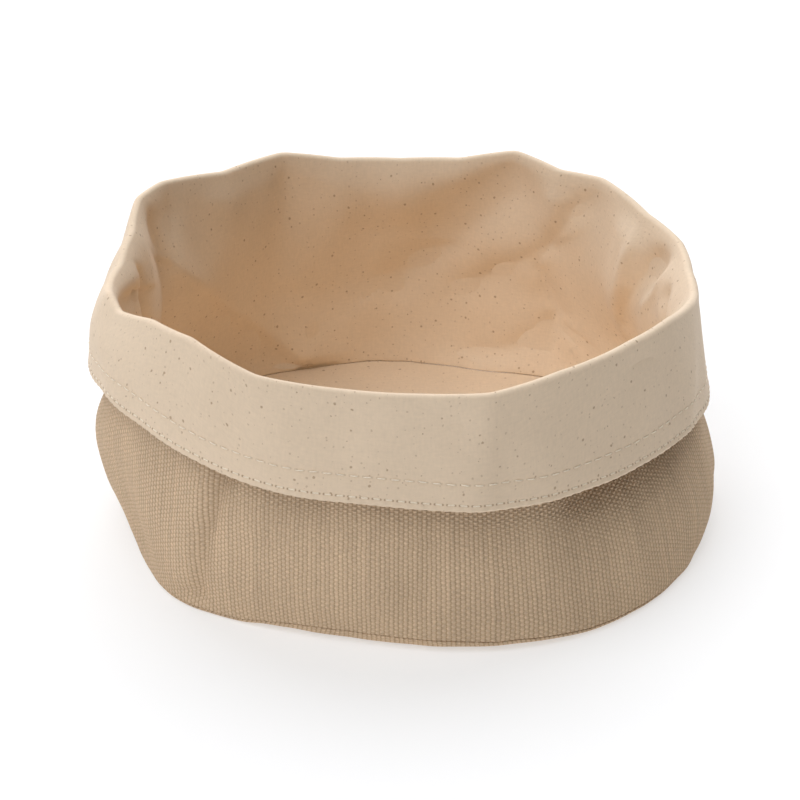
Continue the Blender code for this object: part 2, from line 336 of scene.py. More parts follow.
# Folds of the wall, sharper, in the same way. They fade out over these heights at the
# seam and at the rim. A fold's line is rounded off over FOLD_ROUNDING, or over a share of
# its width where that is less.
FOLD_FADE = 5.0
FOLD_RIM_FADE = 14.0
FOLD_ROUNDING = 3.0
FOLD_SHARE = 0.4
FOLDS = (
    # Below the back's right peak, with the fold beside it
    (((65.5, 97), (66.8, 82), (82.5, 50), (90, 40)), 14, 7, 7.5, 2.5),
    (((43.5, 94), (48.5, 85), (54, 68)), 9, 5, 6, 3),
    # The crumples below them, and a short nip near the base
    (((56, 62), (68, 46), (78, 35)), 5, 7, 4.5, 2),
    (((59, 48), (56, 32), (59, 17), (72, 7)), 5, 5, 3.5, 3),
    (((54, 25), (46, 19)), 1.5, 1.5, 1.4, 1.2),
    # A ridge, a trough and a ridge that run down from the right of the rim
    (((30.2, 93), (28.2, 80), (29.2, 65), (32.2, 48)), 4, 2.5, -4.2, -2.5),
    (((17, 90), (20.5, 80), (25, 66), (32, 46)), 4, 4, 5, 2),
    (((11, 84), (13.5, 74), (19, 62)), 3, 3, -4.2, -2.2),
    # The two left corners, the puckered side seam and the edge of the hollow behind
    # the rim
    (((146.5, 99), (148, 88), (150, 74)), 5, 3, 4, 1),
    (((155, 101), (154, 80), (154, 60), (152, 40)), 6, 3, 3.5, 1.8),
    (((175, 93), (172.8, 84), (172.3, 76), (171.5, 58)), 1.2, 1.8, 6, 4),
    (((196, 93), (187, 87), (178, 81)), 7, 2.5, 8, 6),
    # Across the left of the inside, gentle above and steep below
    (((149, 69), (125.7, 34), (111, 8)), 4.5, 14, -3.4, -4.5),
    # Outside: beside the left front corner, and under the right of the cuff
    (((237, 61), (234, 35), (231, 8)), 4, 6, -5, -3),
    (((309, 53), (325, 54), (342, 54)), 6, 10, -6, -7),
)

# Soft creases of the cuff. The first is the corner at the front.
CUFF_CREASES = (
    (((284.5, 90), (283.5, 58)), 5, 7, 0.7, 0.6),
    (((262, 88), (258, 64)), 9, 9, -0.5, -0.4),
    (((236, 92), (240, 66)), 8, 10, 0.5, 0.4),
    (((316, 90), (306, 60)), 9, 12, -0.7, -0.6),
    (((340, 84), (334, 60)), 6, 8, 0.6, 0.6),
    (((202, 84), (206, 70)), 5, 7, 0.6, 0.5),
)


def linear(code):
    """A hex sRGB colour as linear light."""
    parts = [int(code[i : i + 2], 16) / 255 for i in (0, 2, 4)]
    return [c / 12.92 if c <= 0.04045 else ((c + 0.055) / 1.055) ** 2.4 for c in parts]


# ---- Shapes: each is worked out as whole arrays -------------------------------------

BEARINGS = SIDE_SEAM + 360 * np.arange(AROUND) / AROUND


def ring(rows, rounding):
    """The columns after the bearing, at each step round the bag: even changes from row
    to row, then averaged with a bell curve as wide as the rounding."""
    rows = np.array(rows, float)
    at = np.arange(0, 360, TABLE_STEP)
    away = np.minimum(at, 360 - at)
    weight = np.exp(-0.5 * (away / rounding) ** 2)
    smooth = np.fft.fft(weight / weight.sum())
    columns = []
    for values in rows[:, 1:].T:
        exact = np.interp(at, rows[:, 0], values, period=360)
        rounded = np.fft.ifft(np.fft.fft(exact) * smooth).real
        columns.append(np.interp(BEARINGS, at, rounded, period=360))
    return columns


def joined(*parts):
    """Arrays joined along the cloth."""
    return np.concatenate(parts, axis=1)


def stacked(*parts):
    """Vectors made of these parts."""
    return np.stack(parts, axis=-1)


def unit(vector):
    """The same ways, each of length 1."""
    return vector / np.linalg.norm(vector, axis=-1, keepdims=True)


def curve(start, start_way, end, end_way, steps):
    """Points from start towards end, which is left out: the cubic that leaves and
    arrives along the two ways, times the distance between the ends."""
    share = (np.arange(steps) / steps)[None, :, None]
    reach = np.linalg.norm(end - start, axis=-1)[:, None, None]
    a, b = start[:, None], end[:, None]
    way_a, way_b = start_way[:, None] * reach, end_way[:, None] * reach
    return (
        a * (2 * share**3 - 3 * share**2 + 1)
        + way_a * (share**3 - 2 * share**2 + share)
        + b * (3 * share**2 - 2 * share**3)
        + way_b * (share**3 - share**2)
    )


def curve_through(knots, ways, steps):
    """The cubics that join the knots in turn, without the last knot."""
    ends = zip(knots, ways, knots[1:], ways[1:], steps)
    return joined(*[curve(*both_ends) for both_ends in ends])


def soft(distance, width):
    """A bell curve of the distance from a crease."""
    return np.exp(-((distance / width) ** 2))


def sharp(distance, width):
    """The same for a fold: an exponential curve of the distance, with its sharp line
    rounded off."""
    rounding = np.minimum(FOLD_ROUNDING, FOLD_SHARE * width)
    return np.exp((rounding - np.sqrt(distance**2 + rounding**2)) / width)


def fade(distance, reach):
    """From 0 to 1 over the reach, level at both ends: 3 x squared less 2 x cubed."""
    share = np.clip(distance / reach, 0, 1)
    return share**2 * (3 - 2 * share)


def pressed(radius, height, creases, shape):
    """How far the creases push each point. A crease is a line of straight stretches on
    the unrolled wall. Its push is its depth where the line passes nearest, times the
    shape at the distance from there, which may be wider on one side than on the other."""
    push = np.zeros(np.broadcast(radius, height).shape)
    for points, left, right, start_depth, end_depth in creases:
        nearest = np.full(push.shape, np.inf)
        aside = np.zeros(push.shape)
        share = np.zeros(push.shape)
        for i in range(len(points) - 1):
            (bearing, low), (far_bearing, high) = points[i : i + 2]
            way = np.array([np.radians(far_bearing - bearing) * radius.mean(), high - low])
            length = np.linalg.norm(way)
            turned = (BEARINGS[:, None] - bearing + 180) % 360 - 180
            across, up = np.radians(turned) * radius, height - low
            along = (across * way[0] + up * way[1]) / length
            off_line = (across * way[1] - up * way[0]) / length
            beyond = np.maximum(np.maximum(-along, along - length), 0)
            distance = off_line**2 + beyond**2
            closer = distance < nearest
            nearest = np.where(closer, distance, nearest)
            aside = np.where(closer, off_line, aside)
            here = (i + np.clip(along / length, 0, 1)) / (len(points) - 1)
            share = np.where(closer, here, share)
        width = np.where(aside < 0, left, right)
        depth = start_depth + (end_depth - start_depth) * share
        push += depth * shape(np.sqrt(nearest), width)
    return push


def swells(height, around, upright, depth, seed):
    """Uneven cloth: cosine waves of random ways and phases added up, each with a whole
    number of periods round the bag. Their usual size is around by upright."""
    rng = np.random.default_rng(seed)
    waves = 48
    turns = np.rint(rng.normal(0, GIRTH / around / 2, waves))
    rises = rng.normal(0, np.pi / upright, waves)
    phases = rng.uniform(0, 2 * np.pi, waves)
    total = np.zeros(height.shape)
    for turn, rise, phase in zip(turns, rises, phases):
        total += np.cos(np.radians(BEARINGS)[:, None] * turn + height * rise + phase)
    return depth * total / np.sqrt(waves / 2)


def seam_line():
    """The seam of wall and base, and the way the cloth runs up through it."""
    seam_radius, seam_height, spread = ring(SEAM, CLOTH_ROUNDING)
    seam = stacked(seam_radius, seam_height)
    # It wanders a little, in and out as well as up and down
    seam += swells(seam, *SEAM_SWELLS)
    belly = stacked(*ring(BELLY, CLOTH_ROUNDING))
    outwards = np.array([1.0, 0.0])
    return seam, unit(unit(belly - seam) + spread[:, None] * outwards)


def rim_fold():
    """The fold over the rim, an arc from the collar's lean to the cuff's, and the ways
    the cloth runs onto it and leaves it."""
    rim_radius, rim_height, bend, cuff_lean = ring(RIM, RIM_ROUNDING)
    bend = CRISP_BEND + CRISP_SHARE * bend
    collar_lean = ring(COLLAR, RIM_ROUNDING)[2]
    start = np.radians(180 - collar_lean)[:, None]
    stop = np.radians(cuff_lean)[:, None]
    turn = start + (stop - start) * np.linspace(0, 1, RIM_STEPS + 1)
    middle = stacked(rim_radius, rim_height + THINNER - bend)
    off_middle = stacked(np.cos(turn), np.sin(turn))
    onto_fold = joined(np.sin(start), -np.cos(start))
    off_fold = joined(np.sin(stop), -np.cos(stop))
    return middle[:, None] + bend[:, None, None] * off_middle, onto_fold, off_fold


def kept_inside(radius, push, height):
    """The push of the folds, held back where the wall would go through the cuff's canvas.
    The cuff is taken as straight from rim to hem. With room as the distance to it, a push
    outwards becomes room times the hyperbolic tangent of push over room."""
    rim_radius, rim_height = ring(RIM, RIM_ROUNDING)[:2]
    hem_radius, hem_height = ring(HEM, CLOTH_ROUNDING)[:2]
    share = (rim_height[:, None] - height) / (rim_height - hem_height)[:, None]
    cuff = rim_radius[:, None] + (hem_radius - rim_radius)[:, None] * share
    below_hem = np.maximum(hem_height[:, None] - height, 0)
    layers = 2 * (LAYER_GAP + CANVAS_THICKNESS)
    room = cuff + ROOM_BELOW_HEM * below_hem - layers + CRISP_BEND - radius
    room = np.maximum(room, LEAST_ROOM)
    return np.where(push > 0, room * np.tanh(push / room), push)


def wall_section(seam, up_seam, fold_start, onto_fold):
    """From the seam up to the rim's fold, which is left out, with the creases and folds
    pressed in."""
    belly = stacked(*ring(BELLY, CLOTH_ROUNDING))
    neck = stacked(*ring(NECK, CLOTH_ROUNDING))
    rim_radius, rim_height = ring(RIM, RIM_ROUNDING)[:2]
    inset, drop = ring(COLLAR, RIM_ROUNDING)[:2]
    collar = stacked(rim_radius - inset, rim_height - drop)
    knots = [seam + up_seam * SEAM_STRAIGHT, belly, neck, collar, fold_start]
    ways = [up_seam, unit(neck - seam), unit(collar - belly), unit(fold_start - neck), onto_fold]
    share = (np.arange(EDGE_STEPS) / EDGE_STEPS)[:, None]
    start = seam[:, None] + up_seam[:, None] * SEAM_STRAIGHT * share
    wall = joined(start, curve_through(knots, ways, WALL_STEPS))
    radius, height = wall[..., 0], wall[..., 1]
    off_seam, off_rim = height - height[:, :1] - SEAM_STRAIGHT, height[:, -1:] - height
    push = pressed(radius, height, CREASES, soft) + swells(height, *WALL_SWELLS)
    push = push * fade(off_seam, CREASE_FADE) * fade(off_rim, CREASE_FADE)
    folds = pressed(radius, height, FOLDS, sharp) + swells(height, *FOLD_SWELLS)
    folds = folds * fade(off_seam, FOLD_FADE) * fade(off_rim, FOLD_RIM_FADE)
    return stacked(radius + kept_inside(radius, push + folds, height), height)


def cuff_section(fold_end, off_fold):
    """From the end of the rim's fold down to the hem."""
    hem_radius, hem_height, cuff_belly = ring(HEM, CLOTH_ROUNDING)
    hem = stacked(hem_radius + THINNER, hem_height)
    drop = unit(hem - fold_end)
    outwards = stacked(-drop[:, 1], drop[:, 0])
    waist = (fold_end + hem) / 2 + outwards * cuff_belly[:, None]
    down = unit(hem - waist)
    knots = [fold_end, hem - down * HEM_TURN_UP, hem]
    cuff = curve_through(knots, [off_fold, down, down], (CUFF_STEPS, HEM_STEPS))
    cuff = joined(cuff, hem[:, None])
    radius, height = cuff[..., 0], cuff[..., 1]
    hold = fade(height[:, :1] - height, CREASE_FADE)
    push = pressed(radius, height, CUFF_CREASES, soft) + swells(height, *CUFF_SWELLS)
    return stacked(radius + hold * push, height)


def base_section(seam, up_seam, gap):
    """From near the middle of the base out to its edge, this far short of the seam."""
    floor = np.full(AROUND, CANVAS_THICKNESS + LAYER_GAP)
    flat = stacked(seam[:, 0] - BASE_EDGE_BEND, floor)
    outwards = np.broadcast_to([1.0, 0.0], flat.shape)
    bend_end = seam - up_seam * (gap + SEAM_STRAIGHT)
    bend = curve(flat, outwards, bend_end, BASE_SEAM_WAY * up_seam, BASE_STEPS)
    share = (np.arange(EDGE_STEPS + 1) / EDGE_STEPS)[:, None]
    straight = bend_end[:, None] + up_seam[:, None] * SEAM_STRAIGHT * share
    share = (np.arange(BASE_RINGS) + 1) / (BASE_RINGS + 1)
    rings = flat[:, None] * stacked(share, np.ones(BASE_RINGS))
    return joined(rings, bend, straight)


def base_lines(gap):
    """The surface between the two bases, in space, and how far each point is from its
    edge, which ends at this gap from the seam."""
    points = in_space(base_section(*seam_line(), gap))
    lengths = length_along(points)
    return points, lengths[:, -1:] - lengths


def wall_lines():
    """The surface between the two walls: seam, wall, rim, cuff and hem, in space."""
    seam, up_seam = seam_line()
    fold, onto_fold, off_fold = rim_fold()
    wall = wall_section(seam, up_seam, fold[:, 0], onto_fold)
    cuff = cuff_section(fold[:, -1], off_fold)
    return in_space(joined(wall, fold[:, :-1], cuff))


def in_space(section):
    """Section points turned to their bearings, in metres."""
    bearing = np.radians(BEARINGS)[:, None]
    radius, height = section[..., 0], section[..., 1]
    return stacked(radius * np.cos(bearing), radius * np.sin(bearing), height) * MM


def frame_of(points):
    """At each point, the way along the cloth, and the way across it: their cross
    product with the way round the bag."""
    step = unit(np.diff(points, axis=1))
    turns = step[:, :-1] + step[:, 1:]
    along = unit(joined(step[:, :1], turns, step[:, -1:]))
    around = np.roll(points, -1, axis=0) - np.roll(points, 1, axis=0)
    return along, unit(np.cross(along, around))


def off(points, distance):
    """The points moved across the cloth, by this many millimetres."""
    return points + frame_of(points)[1] * np.asarray(distance)[..., None] * MM


def length_along(points):
    """How far along the cloth each point is, in metres."""
    steps = np.linalg.norm(np.diff(points, axis=1), axis=-1)
    return joined(np.zeros((AROUND, 1)), np.cumsum(steps, axis=1))


def rounded(to_edge, rounding):
    """How thick a cloth is near its sewn edge, as a share: a quarter circle."""
    off_full = 1 - np.clip(to_edge / (rounding * MM), 0, 1)
    return THINNEST + (1 - THINNEST) * np.sqrt(1 - off_full**2)


def placed(name, data):
    """A new object in the scene."""
    made = bpy.data.objects.new(name, data)
    bpy.context.scene.collection.objects.link(made)
    return made


def mesh_piece(name, points, faces, maps, material):
    """A smooth-shaded piece of the bag, with UV maps that place its patterns."""
    mesh = bpy.data.meshes.new(name)
    mesh.from_pydata(points, [], faces)
    for map_name, places in maps.items():
        mesh.uv_layers.new(name=map_name).data.foreach_set("uv", places.ravel())
    mesh.shade_smooth()
    mesh.materials.append(material)
    piece = placed(name, mesh)
    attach(piece, BODY)
    return piece


def corners(columns, rows):
    """The columns and the rows of the four corners of a grid's faces, each of which goes
    from one of these columns and rows to the next."""
    i, j = [grid.ravel() for grid in np.meshgrid(columns, rows, indexing="ij")]
    return stacked(i, i, i + 1, i + 1), stacked(j, j + 1, j + 1, j)


def band(name, front, back, kept, lengths, hem_row, material):
    """A closed band of cloth. Its front face's rows and the kept rows of its back face,
    in reverse, make one grid, which closes round the bag and round the two cut edges. The
    lengths along the cloth place the weave, and those from the hem place its stitches."""
    points = joined(front, back[:, kept[::-1]])
    lengths = joined(lengths, lengths[:, kept[::-1]])
    rows = points.shape[1]
    i, j = corners(np.arange(AROUND), np.arange(rows))
    share, i, j = i / AROUND, i % AROUND, j % rows
    along, hem = lengths[i, j], lengths[i, hem_row]
    maps = {
        "cloth": stacked(share * GIRTH * MM, along),
        "hem": stacked(share, hem - along),
    }
    return mesh_piece(name, points.reshape(-1, 3), i * rows + j, maps, material)


def round_piece(name, upper, lower, material):
    """A closed round of cloth: the upper face from its edge to the middle and the lower
    face from the middle to its edge, each with one point in the middle."""
    rings = joined(upper[:, ::-1], lower)
    split, rows = upper.shape[1], rings.shape[1]
    at = np.arange(AROUND)
    after = (at + 1) % AROUND
    middles = [rings[:, split - 1].mean(axis=0), rings[:, split].mean(axis=0)]
    points = np.concatenate([rings.reshape(-1, 3), middles])
    i, j = corners(at, np.delete(np.arange(rows), split - 1))
    quads = i % AROUND * rows + j % rows
    top, bottom = np.full(AROUND, AROUND * rows), np.full(AROUND, AROUND * rows + 1)
    inner = stacked(at * rows + split - 1, top, after * rows + split - 1)
    outer = stacked(bottom, at * rows + split, after * rows + split)
    faces = quads.tolist() + inner.tolist() + outer.tolist()
    loops = np.concatenate([quads.ravel(), inner.ravel(), outer.ravel()])
    # On the pattern, each point lies as far from the middle as along the cloth
    faces_out = [np.linalg.norm(f[:, :1, :2], axis=-1) + length_along(f) for f in (upper, lower)]
    out = joined(faces_out[0][:, ::-1], faces_out[1])[..., None]
    bearing = np.radians(BEARINGS)
    ways = stacked(np.cos(bearing), np.sin(bearing))[:, None]
    flat = np.concatenate([(out * ways).reshape(-1, 2), np.zeros((2, 2))])
    return mesh_piece(name, points, faces, {"cloth": flat[loops]}, material)


# ---- Materials ----------------------------------------------------------------------


def fill(tree, made, sockets):
    """Gives a node's sockets a value each, or a link from another node's output. They go
    by name or number, or in order."""
    for socket, value in sockets.items() if isinstance(sockets, dict) else enumerate(sockets):
        if isinstance(value, bpy.types.NodeSocket):
            tree.links.new(value, made.inputs[socket])
        else:
            made.inputs[socket].default_value = value


def add(tree, kind, sockets=(), **settings):
    """Adds a shader node of a kind, which may be followed by its operation, with these
    settings and sockets. Returns its outputs."""
    kind, *operation = kind.split()
    made = tree.nodes.new("ShaderNode" + kind)
    if operation:
        made.operation = operation[0]
    for name, value in settings.items():
        setattr(made, name, value)
    fill(tree, made, sockets)
    return made.outputs


def started(name):
    """A new material with its node tree and its shader."""
    material = bpy.data.materials.new(name)
    material.use_nodes = True
    return material, material.node_tree, material.node_tree.nodes["Principled BSDF"]


def surfaced(tree, shader, colour, height, strength, depth, roughness, specular):
    """Gives the shader its colour, and bumps that stand up by this depth."""
    bump = add(tree, "Bump", {"Height": height, "Strength": strength, "Distance": depth})[0]
    fill(tree, shader, {"Base Color": colour, "Normal": bump})
    fill(tree, shader, {"Roughness": roughness, "Specular IOR Level": specular})


def shaken(tree, place, per_metre, reach):
    """The places of a pattern, moved about by a noise: its value less a half, times the
    reach, in each direction."""
    noise = add(tree, "TexNoise", {"Vector": place, "Scale": per_metre, "Detail": 1.0})["Color"]
    centred = add(tree, "VectorMath SUBTRACT", [noise, (0.5,) * 3])[0]
    return add(tree, "VectorMath MULTIPLY_ADD", [centred, (reach,) * 3, place])[0]


def duck_canvas(scene):
    """Duck canvas: a plain weave of thick unbleached cotton, two warp yarns to each rib,
    so the eye sees upright ribs of beads with gaps between them, painted dark as shade."""
    cloths = scene.bread_bag_cloths
    material, tree, shader = started("Duck canvas")
    place = add(tree, "UVMap", uv_map="cloth")[0]
    # The yarns wander by up to a fifth of a millimetre
    moved = shaken(tree, place, 120.0, 0.8 * MM)
    turns = (math.pi / cloths.rib_spacing, math.pi / cloths.weft_spacing, 0)
    phase = add(tree, "VectorMath MULTIPLY", [moved, turns])[0]
    parts = add(tree, "SeparateXYZ", [phase])
    # With a sine across the ribs and a cosine along them, the warp is as high as the
    # sine's size plus their product, and the weft as the cosine's size less the product.
    # The higher one shows, and the weft counts for less because the ribs cover it.
    rib = add(tree, "Math SINE", [parts[0]])[0]
    pick = add(tree, "Math COSINE", [parts[1]])[0]
    both = add(tree, "Math MULTIPLY", [rib, pick])[0]
    rib_round = add(tree, "Math ABSOLUTE", [rib])[0]
    pick_round = add(tree, "Math ABSOLUTE", [pick])[0]
    warp = add(tree, "Math ADD", [rib_round, both])[0]
    weft = add(tree, "Math SUBTRACT", [pick_round, both])[0]
    low_weft = add(tree, "Math MULTIPLY", [weft, 0.3])[0]
    weave = add(tree, "Math MAXIMUM", [warp, low_weft])[0]
    # Yarn colour over the gaps' painted shade, with ribs and patches that differ a little
    limits = {"Value": weave, "From Min": -0.2, "From Max": 0.9}
    shown = add(tree, "MapRange", limits, interpolation_type="SMOOTHSTEP")[0]
    gap, yarn = (*cloths.canvas_gap_shade, 1), (*cloths.canvas_colour, 1)
    colour = add(tree, "Mix", {"Factor": shown, 6: gap, 7: yarn}, data_type="RGBA")[2]
    rib_size = (1 / cloths.rib_spacing, 25.0, 0)
    by_rib = add(tree, "VectorMath MULTIPLY", [place, rib_size])[0]
    uneven = 0.0
    for where, scale, detail in ((by_rib, 0.7, 2.0), (place, 30.0, 3.0), (place, 900.0, 0.0)):
        noise = add(tree, "TexNoise", {"Vector": where, "Scale": scale, "Detail": detail})[0]
        uneven = add(tree, "Math ADD", [uneven, noise])[0]
    limits = {"Value": uneven, "From Min": 1.0, "From Max": 2.0, "To Min": 0.85, "To Max": 1.15}
    value = add(tree, "MapRange", limits)[0]
    final = add(tree, "VectorMath SCALE", {0: colour, "Scale": value})[0]
    surfaced(tree, shader, final, weave, 0.8, 0.25 * MM, 0.95, 0.2)
    return material


def calico(scene):
    """Unbleached calico: thin plain-weave cotton, washed soft, with faint thick and thin
    threads both ways, brown flecks of cotton seed, and painted shade in the needle holes."""
    cloths, stitching = scene.bread_bag_cloths, scene.bread_bag_stitching
    material, tree, shader = started("Unbleached calico")
    place = add(tree, "UVMap", uv_map="cloth")[0]
    # Threads 0.5 mm apart are drawn about twice as coarse, so that they show
    threads = 0.0
    for per_metre in ((1100.0, 330.0, 0), (360.0, 1100.0, 0)):
        grid = add(tree, "VectorMath MULTIPLY", [place, per_metre])[0]
        noise = add(tree, "TexNoise", {"Vector": grid, "Scale": 1.0, "Detail": 1.0})[0]
        threads = add(tree, "Math ADD", [threads, noise])[0]
    patches = add(tree, "TexNoise", {"Vector": place, "Scale": 40.0, "Detail": 3.0})[0]
    uneven = add(tree, "Math ADD", [threads, patches])[0]
    limits = {"Value": uneven, "From Min": 1.0, "From Max": 2.0, "To Min": 0.95, "To Max": 1.05}
    value = add(tree, "MapRange", limits)[0]
    colour = add(tree, "VectorMath SCALE", {0: cloths.calico_colour, "Scale": value})[0]
    # Flecks: a spot with a ragged edge in each cell, of a size by the cell's own number,
    # which is nothing for a third of them. The cells and sizes are in millimetres.
    flecks_and_hole_shade = []
    moved = shaken(tree, place, 900.0, 0.6 * MM)
    for spacing, size, strength in ((6.2, 0.65, 0.5), (3.0, 0.5, 0.3)):
        grid = {"Vector": moved, "Scale": 1 / (spacing * MM)}
        cells = add(tree, "TexVoronoi", grid, voronoi_dimensions="2D")
        chance = add(tree, "SeparateColor", [cells["Color"]])[0]
        limits = {"Value": chance, "From Min": 0.35, "To Max": size / spacing}
        radius = add(tree, "MapRange", limits)[0]
        inside = add(tree, "Math SUBTRACT", [radius, cells["Distance"]])[0]
        flecks_and_hole_shade.append({"Value": inside, "From Max": 0.25 / spacing, "To Max": strength})
    # The needle's holes: painted shade at both ends of each dash, more so in the lower row
    by_hem = add(tree, "SeparateXYZ", [add(tree, "UVMap", uv_map="hem")[0]])
    for row, count, strength in (
        (stitching.lower_row, stitching.lower_count, 0.6),
        (stitching.upper_row, stitching.upper_count, 0.2),
    ):
        turns = add(tree, "Math MULTIPLY_ADD", [by_hem[0], count, 0.5])[0]
        part = add(tree, "Math FRACT", [turns])[0]
        middle = add(tree, "Math SUBTRACT", [part, 0.5])[0]
        off_middle = add(tree, "Math ABSOLUTE", [middle])[0]
        off_end = add(tree, "Math SUBTRACT", [off_middle, DASH_SHARE / 2])[0]
        aside = add(tree, "Math MULTIPLY", [off_end, GIRTH * MM / count])[0]
        above = add(tree, "Math SUBTRACT", [by_hem[1], row])[0]
        offset = add(tree, "CombineXYZ", [aside, above])[0]
        distance = add(tree, "VectorMath LENGTH", [offset])["Value"]
        limits = {"From Min": 0.6 * MM, "From Max": 0.15 * MM, "To Max": strength}
        flecks_and_hole_shade.append({"Value": distance, **limits})
    # One colour for the seed flecks and for the painted shade of the needle holes
    brown = (*cloths.fleck_and_hole_shade_colour, 1)
    for limits in flecks_and_hole_shade:
        mask = add(tree, "MapRange", limits, interpolation_type="SMOOTHSTEP")[0]
        colour = add(tree, "Mix", {"Factor": mask, 6: colour, 7: brown}, data_type="RGBA")[2]
    surfaced(tree, shader, colour, threads, 0.4, 0.12 * MM, 0.9, 0.2)
    fill(tree, shader, {"Sheen Weight": 0.1})
    return material


def cotton_thread(scene):
    """Cotton sewing thread: two plies twisted together, paler than the cloth, with a
    faint lustre along the twist, whose grooves are painted darker as shade."""
    thread = scene.bread_bag_stitching.thread_colour
    material, tree, shader = started("Cotton thread")
    grid = {"Vector": add(tree, "UVMap", uv_map="cloth")[0], "Scale": 400.0, "Distortion": 1.0}
    twist = add(tree, "TexWave", grid, bands_direction="DIAGONAL")[1]
    # The twist's grooves are painted a tenth darker than its crests, as shade
    low, high = (*[0.9 * c for c in thread], 1), (*thread, 1)
    colour = add(tree, "Mix", {"Factor": twist, 6: low, 7: high}, data_type="RGBA")[2]
    surfaced(tree, shader, colour, twist, 0.4, 0.08 * MM, 0.7, 0.3)
    return material


def opal_table(stage):
    """Opal acrylic, a studio table lit from below, so that shadows on it are faint."""
    material, tree, shader = started("Opal acrylic")
    top = {"Base Color": (*stage.floor_colour, 1), "Roughness": 1.0, "Specular IOR Level": 0.0}
    lit = {"Emission Color": (1, 1, 1, 1), "Emission Strength": stage.floor_glow}
    fill(tree, shader, {**top, **lit})
    return material


def material_of(make, name):
    """The material of that name, made once."""
    return bpy.data.materials.get(name) or make(bpy.context.scene)


# ---- The cloths ---------------------------------------------------------------------


def calico_path(points):
    """The calico's line: up the wall, down the cuff, round the canvas edge in a half
    ellipse and up behind it. Its near face lies on these points."""
    along, across = frame_of(points)
    near = (CALICO_FACE - CALICO_THICKNESS) * MM
    behind = (LAYER_GAP + CANVAS_THICKNESS + HEM_SLACK) * MM
    bend = (near + behind) / 2
    turn = (np.pi * np.arange(1, HEM_BEND_STEPS) / HEM_BEND_STEPS)[None, :, None]
    hem, hem_along, hem_across = points[:, -1:], along[:, -1:], across[:, -1:]
    hook = hem + hem_along * bend * np.sin(turn)
    hook = hook + hem_across * (near - bend + bend * np.cos(turn))
    turned = (points - across * behind)[:, -1 : -HEM_STEPS - 2 : -TURNED_STRIDE]
    return joined(points + across * near, hook, turned)


def sewn(to_hem, stitching):
    """How far the stitching pulls the cloth in, or lets it puff up, in millimetres. Each
    row is a groove, a bell curve across it, with a cosine along it that makes it five
    times as deep at the middle of a dash as between two. There, in the lower row, the
    cloth is puffed up, most of all at the edge."""
    push = np.zeros(to_hem.shape)
    for row, count, pull, puff in (
        (stitching.lower_row, stitching.lower_count, ROW_PULL, PUFF),
        (stitching.upper_row, stitching.upper_count, ROW_PULL / 2, 0),
    ):
        turn = np.cos(2 * np.pi * count * np.arange(AROUND) / AROUND)[:, None]
        groove = np.exp(-(((to_hem - row) / (ROW_WIDTH * MM)) ** 2))
        push -= pull * groove * (0.6 + 0.4 * turn)
        push += puff * (1 - turn) / 2 * np.exp(-((to_hem / (2 * ROW_WIDTH * MM)) ** 2))
    return push


def hidden_rows(rows, finer_from):
    """The rows that a face kept out of sight needs: a few, and all from this one on."""
    return np.r_[0:finer_from:HIDDEN_STRIDE, finer_from:rows]


def calico_wall(stitching):
    """The calico's near face and its face that shows, with their lengths, and which row
    is the hem. The face that shows is rounded at the seam and drawn in by the stitches."""
    path = calico_path(wall_lines())
    lengths = length_along(path)
    hem_row = sum(WALL_STEPS) + EDGE_STEPS + RIM_STEPS + CUFF_STEPS + HEM_STEPS
    to_hem = lengths[:, hem_row : hem_row + 1] - lengths
    thickness = CALICO_THICKNESS * rounded(lengths, CALICO_EDGE_ROUNDING)
    front = off(path, thickness + sewn(to_hem, stitching))
    return path, front, lengths, hem_row


